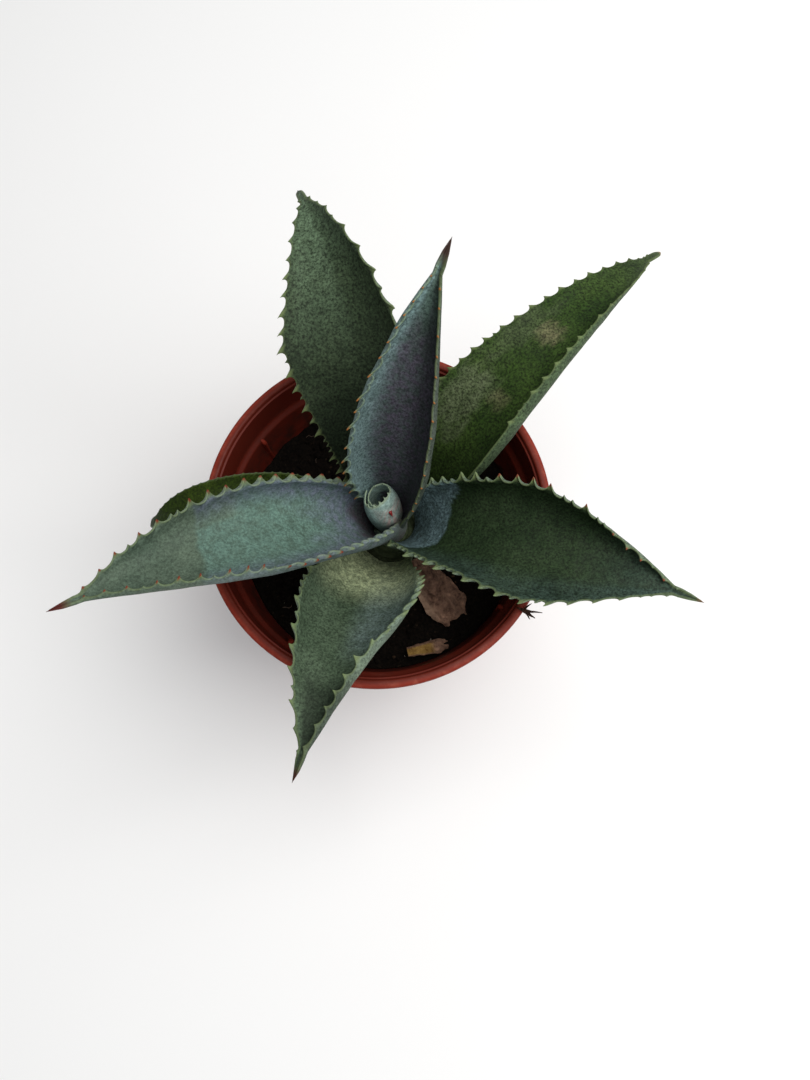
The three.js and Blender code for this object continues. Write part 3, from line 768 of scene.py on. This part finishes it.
# Painted shade: where the shade mark is 1 the colour is darkened to a quarter.
shaded = remap(leaf_skin, attribute(leaf_skin, "shade"), 0, 1, 1.0, 0.25)
for value in (coarse, grainy.outputs[0], shaded):
    toned = add_node(leaf_skin, "ShaderNodeHueSaturation", Value=value, Color=colour)
    colour = toned.outputs["Color"]
flecks = times(leaf_skin, mottle(leaf_skin, 1500.0, 0.66, 0.74, detail=2), 0.3)
colour = blend_colour(leaf_skin, flecks, colour, given["Light"])
pale = remap(leaf_skin, attribute(leaf_skin, "margin"), 0.25, 1.0)
colour = blend_colour(leaf_skin, times(leaf_skin, pale, 0.75), colour, given["Margin"])
colour = blend_colour(leaf_skin, remap(leaf_skin, attribute(leaf_skin, "tooth"), 0.6, 0.85),
                      colour, given["Tooth"])
horn = add_node(leaf_skin, "ShaderNodeMapRange", **{
    "Value": attribute(leaf_skin, "along_leaf"), "From Min": given["HornFrom"],
    "From Max": given["HornFull"]})
colour = blend_colour(leaf_skin, horn.outputs["Result"], colour, given["Horn"])
leaf_skin.links.new(colour, made["Colour"])
leaf_skin.links.new(remap(leaf_skin, blotches, 0, 1, 0.52, 0.68), made["Roughness"])
leaf_skin.links.new(times(leaf_skin, grains, remap(leaf_skin, blotches, 0, 1, 0.7, 1)), made["Relief"])


def leaf_material(name, **looks):
    """A leaf's finish: the shared skin in this leaf's own colours, on a dull waxy surface."""
    material, tree, shader = new_material(name)
    looks = {key: (*value, 1) if isinstance(value, tuple) else value for key, value in looks.items()}
    skin = use_group(tree, leaf_skin, **looks)
    tree.links.new(skin["Colour"], shader.inputs["Base Color"])
    tree.links.new(skin["Roughness"], shader.inputs["Roughness"])
    shader.inputs["Specular IOR Level"].default_value = 0.13
    bump(tree, shader, skin["Relief"], 0.00022, 0.7)
    return material


def wavy(s, t, seed):
    """A slow waver for the edges of marks."""
    return lattice_noise(s * 17 + seed, t * 6 + 31, seed)


def band(value, low, high, soft):
    """1 between low and high, falling to 0 within soft outside them."""
    return smooth01((value - low) / soft + 1) * smooth01((high - value) / soft + 1)


def patch(s, t, along, across, reach_s, reach_t, seed):
    """A mark of wandering outline centred at (along, across) that fades out at the given reaches."""
    off = np.hypot((s - along) / reach_s, (t - across) / reach_t)
    return smooth01(1.6 - 1.5 * off + 0.45 * lattice_noise(s * 46 + seed, t * 13 + seed, seed))


def upright_back_marks(s, t):
    """Plum up to two thirds, blue-green by the left margin and at the tip, the right side in shade."""
    edge = 0.66 + 0.06 * wavy(s, t, 5)
    return {"plum": (1 - smooth01((s - edge) / 0.2)) * (1 - 0.8 * smooth01((t - 0.15) / 0.5)),
            "bloom": np.clip(smooth01((t - 0.1) / 0.5)
                             + 0.2 * smooth01((s - 0.55) / 0.25) * smooth01((t + 0.1) / 0.4), 0, 1),
            "shade": 0.7 * smooth01((-0.02 - t) / 0.4)}


def left_marks(s, t):
    """Blue bloom up to a straight print, lavender along both margins, red-brown at the base."""
    print_edge = smooth01((s - 0.6 - 0.02 * t - 0.012 * wavy(s, t, 6)) / 0.016)
    dull_strip = band(s, 0.5, 0.7, 0.03) * smooth01((t * -1 - 0.4) / 0.1)
    lavender = smooth01((np.abs(t + 0.1) - 0.35) / 0.4) * (1 - print_edge)
    near_base = 1 - smooth01((s - 0.16 - 0.05 * wavy(s, t, 7) - 0.1 * np.abs(t)) / 0.16)
    return {"bloom": (1 - print_edge) * (1 - 0.8 * dull_strip),
            "plum": np.clip(0.8 * lavender + near_base, 0, 1),
            "flush": 0.85 * (1 - smooth01((s - 0.075 - 0.03 * wavy(s, t, 8)) / 0.08))}


def right_marks(s, t):
    """A blue print at the base whose edge slants to the right margin, and a greyer lower side."""
    edge = 0.185 + 0.05 * smooth01((t - 0.45) / 0.4) + 0.16 * np.minimum(t + 0.3, 0) + 0.006 * wavy(s, t, 9)
    printed = 1 - smooth01((s - edge) / 0.012)
    greyer = 0.14 * smooth01((s - 0.6) / 0.3) + 0.16 * smooth01((-0.35 - t) / 0.4)
    return {"bloom": np.clip(printed + greyer * (1 - printed), 0, 1)}


def back_left_marks(s, t):
    """Lighter and greyer towards the tip and left of the middle, with painted shade down between the
    leaves.
    """
    return {"bloom": np.clip(0.5 * band(t, 0.1, 0.7, 0.3) * smooth01((s - 0.4) / 0.3)
                             + 0.5 * smooth01((s - 0.62) / 0.22), 0, 1),
            "shade": 0.85 * (1 - smooth01((s - 0.2) / 0.5))}


def front_marks(s, t):
    """Blue bloom on the upper left part, olive at the base raised by painted light, and painted shade on
    the tip.
    """
    return {"bloom": 0.9 * band(s, 0.2, 0.5, 0.14) * smooth01((t + 0.15) / 0.4),
            "scar": 1 - smooth01((s - 0.18) / 0.2),
            "shade": 0.75 * smooth01((s - 0.64) / 0.1) * smooth01((t + 0.9) / 0.5)}


def back_right_marks(s, t):
    """Dusty patches by the upper margin near the base, two pale scars, and painted shade at the base."""
    dusty = patch(s, t, 0.3, 0.55, 0.13, 0.5, 12) + 0.5 * patch(s, t, 0.5, 0.7, 0.12, 0.35, 13)
    return {"bloom": np.clip(0.85 * dusty + 0.2 * smooth01((s - 0.6) / 0.3), 0, 1),
            "scar": np.clip(patch(s, t, 0.54, 0.25, 0.04, 0.34, 14)
                            + 0.6 * patch(s, t, 0.35, 0.06, 0.03, 0.22, 15), 0, 1),
            "shade": 0.65 * (1 - smooth01((s - 0.1) / 0.25))}


def far_left_marks(s, t):
    """Plain deep green, a little lighter along its middle."""
    return {"bloom": 0.2 * band(s, 0.4, 0.7, 0.2)}


# heading is the compass angle from +X and sweep its turn by the tip; rise, fold and roll are in
# degrees, the first two at half length and at the tip. Pairs on teeth are for the left and right,
# seen looking out along the leaf. tooth_turn holds two angles a side, before and after turn_at.
# bare is how far up a margin has no teeth, and tipped is where dark points start, 2 for nowhere.
# under is how grey the underside is, and blunt the width of a cap that takes the spine's place.
LEAVES = (
    dict(name="upright_back_leaf", node="leaf_1_back", order=0, heading=84, sweep=-25, length=128,
         rise=(59, 36), width=48, widest=0.37, neck=0.61, taper=1.75, fold_left=(125, 140),
         fold_right=(115, 120), roll=(-14, 17), blunt=0,
         teeth=23, tooth_height=(3.0, 0.9), bare=(0.13, 0.12), left_cut=0.5,
         tooth_turn=((30, 60), (60, 90)), turn_at=0.7, hook=(0.7, 0.3), thinning=-0.2,
         tipped=(0.03, 0.2), under=(0.3, 1), seed=101,
         marks=upright_back_marks,
         skin=dict(Deep=(0.035, 0.053, 0.043), Light=(0.06, 0.096, 0.08), Bloom=(0.15, 0.23, 0.225),
                   Plum=(0.062, 0.055, 0.075), Tooth=(0.3, 0.115, 0.03), Horn=(0.05, 0.03, 0.024),
                   HornFrom=0.925, HornFull=0.96)),
    dict(name="left_leaf", node="leaf_2_left", order=1, heading=194.5, sweep=10.5, length=138,
         rise=(23, 16), width=56, widest=0.42, neck=0.8, taper=1.65, fold_left=(84, 140),
         fold_right=(135, 92), roll=(18, 17), blunt=0, teeth=28, tooth_height=(2.6, 3.4), bare=(0.1, 0.03),
         left_cut=0, tooth_turn=((25, 150), (25, 25)), turn_at=0.42, hook=(0.4, 0.0), thinning=0.4,
         tipped=(0.3, 0.0), under=(0.45, 1), seed=202,
         marks=left_marks,
         skin=dict(Deep=(0.062, 0.092, 0.066), Light=(0.085, 0.118, 0.084), Bloom=(0.09, 0.155, 0.126),
                   Plum=(0.12, 0.14, 0.18), Flush=(0.07, 0.038, 0.042), Tooth=(0.17, 0.035, 0.018),
                   Speckle=0.7,
                   Horn=(0.09, 0.02, 0.016), HornFrom=0.935, HornFull=0.965)),
    dict(name="right_leaf", node="leaf_3_right", order=2, heading=-13, sweep=-14, length=126,
         rise=(16, 9), width=56, widest=0.5, neck=0.8, taper=1.25, fold_left=(127, 122),
         fold_right=(55, 62), roll=(-18, 4), blunt=0, teeth=27, tooth_height=(3.5, 2.8), bare=(0.0, 0.03),
         left_cut=0, tooth_turn=((25, 150), (20, 30)), turn_at=0.62, hook=(0.1, 0.6), thinning=0.4,
         tipped=(0.33, 2), under=(1, 1), seed=303,
         marks=right_marks,
         skin=dict(Deep=(0.009, 0.0195, 0.0065), Light=(0.019, 0.034, 0.0135), Bloom=(0.085, 0.13, 0.14),
                   Tooth=(0.19, 0.05, 0.025), Speckle=1.2, Horn=(0.16, 0.07, 0.03),
                   HornFrom=0.975, HornFull=0.995)),
    dict(name="back_left_leaf", node="leaf_4_back_left", order=3, heading=99, sweep=11, length=154,
         rise=(33, -46), width=50, widest=0.54, neck=0.48, taper=1.1, fold_left=(25, 70),
         fold_right=(87, 62), roll=(-7, -18), blunt=3.5, teeth=28, tooth_height=(3.0, 3.0), bare=(0.0, 0.0),
         left_cut=0, tooth_turn=((20, 30), (20, 30)), turn_at=0.6, hook=(0.4, 0.4), thinning=0.3,
         tipped=(2, 2), under=(1, 1), seed=404,
         marks=back_left_marks,
         skin=dict(Deep=(0.021, 0.035, 0.017), Light=(0.037, 0.057, 0.028), Bloom=(0.08, 0.122, 0.073),
                   Speckle=1.4,
                   Horn=(0.008, 0.014, 0.006), HornFrom=0.975, HornFull=0.985)),
    dict(name="front_leaf", node="leaf_5_front", order=4, heading=253, sweep=-3, length=114,
         rise=(36, 2), width=56, widest=0.41, neck=0.51, taper=1.22, fold_left=(99, 142),
         fold_right=(92, 31), roll=(2, 18), blunt=0, teeth=22, tooth_height=(2.9, 3.2), bare=(0.12, 0.12),
         left_cut=0, tooth_turn=((25, 150), (25, 30)), turn_at=0.52, hook=(0.3, 0.4), thinning=0.3,
         tipped=(2, 2), under=(1, 1), seed=505,
         marks=front_marks,
         skin=dict(Deep=(0.037, 0.059, 0.034), Light=(0.062, 0.092, 0.056), Bloom=(0.095, 0.132, 0.122),
                   # Painted light: this bright olive lifts the front leaf's shaded base.
                   ScarAndPaintedLight=(0.37, 0.42, 0.24), Horn=(0.05, 0.018, 0.012), HornFrom=0.95, HornFull=0.975)),
    dict(name="back_right_leaf", node="leaf_6_back_right", order=5, heading=43.5, sweep=2.5, length=176,
         rise=(8, -44), width=50.5, widest=0.31, neck=0.69, taper=1.22, fold_left=(19, 42),
         fold_right=(122, 20), roll=(-13, -7), blunt=3.5,
         teeth=32, tooth_height=(2.1, 2.3), bare=(0.0, 0.3), left_cut=0,
         tooth_turn=((20, 60), (110, 60)), turn_at=0.6, hook=(0.3, 0.3), thinning=0.3,
         tipped=(2, 2), under=(1, 0.35), seed=606,
         marks=back_right_marks,
         skin=dict(Deep=(0.012, 0.029, 0.004), Light=(0.032, 0.06, 0.011), Bloom=(0.08, 0.1, 0.052),
                   Speckle=1.4,
                   ScarAndPaintedLight=(0.13, 0.12, 0.065), Horn=(0.24, 0.18, 0.11), HornFrom=0.972, HornFull=0.982)),
    dict(name="far_left_leaf", node="leaf_7_far_left", order=6, heading=178.4, sweep=-2, length=104,
         rise=(17, -75), width=41, widest=0.33, neck=0.6, taper=1.65, fold_left=(40, 30),
         fold_right=(55, 35), roll=(0, 0), blunt=4, teeth=38, tooth_height=(0.5, 0.5), bare=(0.0, 0.0),
         left_cut=0, tooth_turn=((30, 30), (30, 30)), turn_at=0.6, hook=(0, 0), thinning=0.3,
         tipped=(2, 2), under=(1, 1), seed=707,
         marks=far_left_marks,
         skin=dict(Deep=(0.0085, 0.02, 0.0006), Light=(0.017, 0.033, 0.0015), Bloom=(0.045, 0.065, 0.01),
                   Tooth=(0.2, 0.07, 0.03), Margin=(0.08, 0.11, 0.04), Horn=(0.07, 0.08, 0.03),
                   HornFrom=0.985, HornFull=0.995)),
)
for leaf in LEAVES:
    leaf_piece(leaf, leaf_material(leaf["name"] + "_skin", **leaf["skin"]))

# ---- Furled centre leaf --------------------------------------------------------------------
# The youngest leaf, still rolled round itself into a bud that is widest above half its height.
# Its hooded mouth opens to the left, its toothed edge wraps round the front, and its small red
# spine is bent down over the front right.
FURL_WRAPS = 1.35
FURL_TURN_STEPS = 330
FURL_CLIMB_STEPS = 46
FURL_THICKNESS = 0.9
FURL_TEETH = 13
FURL_TOOTH = 1.2
HOOD_HEADING = -45
furl_low = np.array(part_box("leaf_furled")[0]) / MM
furl_foot = np.array([*STEM_PLACE, furl_low[2]])
furl_height = 31.0
furl_lean = np.array([-3.9, 7.0])


def furl_radius(climb, wrap):
    """3.3 at foot and mouth with a sine hump of 3.7 between, and drawn in over the last wraps."""
    hump = 3.3 + 3.7 * np.sin(np.pi * np.clip(climb, 0, 1) ** 1.25) ** 0.8
    drawn_in = 0.8 * smooth01((wrap - 0.6) / 0.4) * climb
    return hump * (1 - 0.13 * wrap) - (hump * 0.87 - 1.5) * drawn_in


def furl_points(climb, wrap):
    """A spiral wall about a leaning line: its edge winds round as it climbs."""
    turn = np.radians(245 - 105 * climb + 360 * FURL_WRAPS * wrap)
    radius = furl_radius(climb, wrap)
    x = furl_foot[0] + furl_lean[0] * climb + radius * np.cos(turn)
    y = furl_foot[1] + furl_lean[1] * climb + radius * np.sin(turn)
    return np.stack([x, y, furl_foot[2] + furl_height * climb + 0 * x], -1)


wrap = np.linspace(0, 1, FURL_TURN_STEPS)[None] + np.zeros((FURL_CLIMB_STEPS, 1))
rim_turn = 140 + 360 * FURL_WRAPS * wrap
flap = 0.1 * (1 - smooth01(wrap / 0.06))
rim_climb = (0.86 + 0.1 * np.cos(np.radians(rim_turn - HOOD_HEADING)) - 0.06 * smooth01((wrap - 0.65) / 0.3)
             + flap)
rise_share = (1 - (1 - np.linspace(0, 1, FURL_CLIMB_STEPS)[:, None]) ** 1.5)
rim_tooth = (1 - np.abs(2 * ((wrap * FURL_TEETH) % 1) - 1)) ** 4
climb = rise_share * rim_climb + rim_tooth * FURL_TOOTH / furl_height * smooth01((rise_share - 0.9) / 0.1)
furl_sheet = furl_points(climb, wrap)
near_rim = np.clip(1 - (rim_climb - climb) * furl_height / 1.3, 0, 1)
near_edge = np.clip(1 - wrap * 46 / 1.3, 0, 1)
front = smooth01((np.cos(np.radians(rim_turn - 285)) - 0.3) / 0.5)
stripes = 0.6 + 0.4 * np.sin(climb * 260 + 2 * wavy(wrap, climb, 4))
creased = front * smooth01((0.88 - climb) / 0.1) * stripes
furl_material = leaf_material(
    "furled_leaf_skin", Deep=(0.13, 0.19, 0.16), Light=(0.19, 0.26, 0.23), Bloom=(0.3, 0.42, 0.38),
    Flush=(0.36, 0.27, 0.25), Margin=(0.34, 0.4, 0.2), Tooth=(0.3, 0.3, 0.12), Speckle=0.6,
    HornFrom=2.0, HornFull=3.0)
furl_marks = {"bloom": both_faces(smooth01((climb - 0.45) / 0.3)), "flush": both_faces(creased),
              "margin": both_faces(np.maximum(near_rim, near_edge) * 0.75),
              "across_leaf": both_faces(wrap * 3), "along_leaf": both_faces(climb)}
furl_shell = thick_sheet(furl_sheet, FURL_THICKNESS * (1 - 0.5 * near_rim), sheet_normal(furl_sheet))
make_piece("furled_leaf", *furl_shell, "young_leaf", furl_material, ["leaf_furled"], furl_marks)

spine_material, tree, shader = new_material("red_spine")
colour = blend_colour(tree, mottle(tree, 900.0, 0.4, 0.6), (0.3, 0.025, 0.022), (0.16, 0.014, 0.012))
tree.links.new(colour, shader.inputs["Base Color"])
shader.inputs["Roughness"].default_value = 0.4
spine_share = np.linspace(0, 1, 14)[:, None]
spine_root = furl_foot + (furl_lean[0] * 0.8 + 3.6, furl_lean[1] * 0.8 - 5.3, furl_height * 0.8)
spine_path = spine_root + spine_share * (0.9, -1.7, -1.6) + spine_share ** 2 * (0, 0, -0.6)
spine_radius = 0.85 * (1 - spine_share[:, 0]) ** 0.7
make_piece("furled_leaf_spine", *round_thread(spine_path, spine_radius, sides=12), "young_leaf",
           spine_material)

# ---- Withered leaf and scraps --------------------------------------------------------------
# The lowest leaf has died: a brown papery tongue, wrinkled lengthwise as it dried, lies from the
# stem onto the soil. A torn golden flake lies by the wall and a dark sprig hangs over the rim.
withered, tree, shader = new_material("withered_leaf")
wrinkle = mottle(tree, 260.0, 0.36, 0.62, detail=6, roughness=0.7)
patches = mottle(tree, 70.0, 0.4, 0.64)
colour = blend_colour(tree, wrinkle, (0.055, 0.026, 0.016), (0.42, 0.24, 0.16))
colour = blend_colour(tree, times(tree, patches, 0.4), colour, (0.3, 0.18, 0.13))
colour = blend_colour(tree, times(tree, attribute(tree, "faded"), remap(tree, wrinkle, 0, 1, 0.4, 1)),
                      colour, (0.5, 0.33, 0.23))
gold = blend_colour(tree, wrinkle, (0.2, 0.1, 0.02), (0.55, 0.34, 0.09))
colour = blend_colour(tree, attribute(tree, "golden"), colour, gold)
tree.links.new(colour, shader.inputs["Base Color"])
shader.inputs["Roughness"].default_value = 0.85
shader.inputs["Specular IOR Level"].default_value = 0.15
bump(tree, shader, wrinkle, 0.0011, 1.0)


def withered_sheet(start, end, widths, arch, wrinkles, seed, steps=(110, 72)):
    """A ragged strip from start to end, arched across, with ridges that follow it and wander.

    The width runs from one value to the other with a bulge between. Height is the arch, a
    parabola across, plus noise drawn out lengthwise; both sides and the end are torn by noise.
    """
    s = np.linspace(0, 1, steps[0])[:, None] + np.zeros((1, steps[1]))
    t = np.linspace(-1, 1, steps[1])[None] + np.zeros((steps[0], 1))
    start, end = np.array(start, float), np.array(end, float)
    length = np.linalg.norm(end - start)
    ahead = (end - start) / length
    aside = np.cross((0, 0, 1), ahead)
    up = np.cross(ahead, aside)
    by_side = smooth01((np.abs(t) - 0.5) * 2)
    torn = 0.1 * lattice_noise(s * length / 2.2, np.sign(t) * 5 + 20, seed) * by_side
    width = widths[0] + (widths[1] - widths[0]) * smooth01(s * 1.3)
    half = 0.5 * width * (1 - 0.35 * smooth01((s - 0.8) / 0.2))
    end_torn = 1.3 * lattice_noise(t * 4 + 50, s * 0 + seed, seed + 1) * smooth01((s - 0.85) / 0.15)
    wander = 0.5 * lattice_noise(s * length / 5, t * 2, seed)
    ridges = lattice_noise(t * half / 1.5 + 40 + wander, s * length / 8, seed + 2)
    cross_folds = lattice_noise(t * half / 3 + 90, s * length / 2.4 + t * 2, seed + 3)
    lift = arch * (1 - t ** 2) + wrinkles * (0.9 * ridges + 0.5 * cross_folds)
    points = start + ahead * (s * length + end_torn)[..., None] + aside * (t * half * (1 + torn))[..., None]
    return s, t, points + up * lift[..., None]


s, t, dried = withered_sheet((14.5, -14, 91.6), (31.5, -40, 88.9), (11, 17), 2.4, 1.0, 31)
dried_shell = thick_sheet(dried, 0.45 + 0 * s, sheet_normal(dried))
make_piece("withered_leaf", *dried_shell, "dry_leaf", withered, ["dried_leaf"],
           {"faded": both_faces(smooth01((-t - 0.45) / 0.3) * band(s, 0.15, 0.75, 0.2))})
s, t, flake = withered_sheet((10.5, -53.4, 89.6), (27, -50.4, 89.6), (4, 6), 0.5, 0.6, 37, (90, 40))
make_piece("torn_flake", *thick_sheet(flake, 0.4 + 0 * s, sheet_normal(flake)), "dry_leaf", withered,
           ["dry_flake_on_soil"],
           {"golden": both_faces(0.9 * band(s, 0.05, 0.55, 0.2) * band(t, -0.6, 0.4, 0.4))})


def sprig_twig(root, reach, thickness, seed):
    """A tapering twig from root along reach that sags and kinks by a little noise."""
    share = np.linspace(0, 1, 20)[:, None]
    kink = np.stack([lattice_noise(share * 5, share * 0 + k * 7, seed) for k in range(3)], -1)[:, 0]
    path = np.array(root) + share * reach + kink * 0.35 * np.sin(np.pi * share) - (0, 0, 0.8) * share ** 2
    return round_thread(path, thickness * (1 - 0.85 * share[:, 0]), sides=8)


sprig_root = (56.2, -41.4, 121.0)
sprig = [sprig_twig(sprig_root, reach, thickness, 61 + k) for k, (reach, thickness) in enumerate((
    ((7.4, -1.2, 0.9), 0.75), ((3.4, 2.6, 0.9), 0.6), ((4.4, -3.2, 0.6), 0.95), ((-2.6, 1.2, 0.3), 0.8),
    ((2.4, -3.6, 0.3), 0.7)))]
sprig_skin, tree, shader = new_material("dry_sprig")
colour = blend_colour(tree, mottle(tree, 500.0, 0.4, 0.65), (0.012, 0.006, 0.004), (0.05, 0.022, 0.013))
tree.links.new(colour, shader.inputs["Base Color"])
shader.inputs["Roughness"].default_value = 0.85
shader.inputs["Specular IOR Level"].default_value = 0.15
make_piece("dry_sprig", *joined(sprig), "dry_leaf", sprig_skin, ["dry_scrap_on_rim"])
